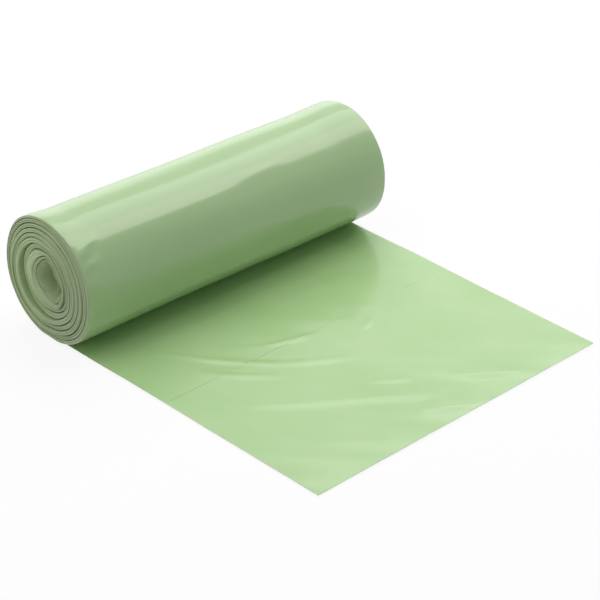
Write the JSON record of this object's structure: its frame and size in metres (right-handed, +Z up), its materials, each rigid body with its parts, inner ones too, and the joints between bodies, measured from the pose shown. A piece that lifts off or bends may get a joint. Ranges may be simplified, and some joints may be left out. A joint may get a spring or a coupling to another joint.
{
  "type": "bin bag roll",
  "caption": "Roll of thin plastic bin bags wound without a core tube, lying on its side with its free end drawn out flat; a collapsed hollow runs through it.",
  "frame": {"origin": "on the table, under the middle of the outline of roll and lead together", "axes": "+X along the roll, to the right with the lead in front; +Y from the lead's cut edge towards the roll; +Z up"},
  "size_m": [0.2518, 0.2672, 0.0807],
  "materials": {
    "film": "satin, slightly see-through pale green polyethylene film"
  },
  "bodies": {
    "root": {"bin_bag_roll": "film"}
  },
  "joints": []
}
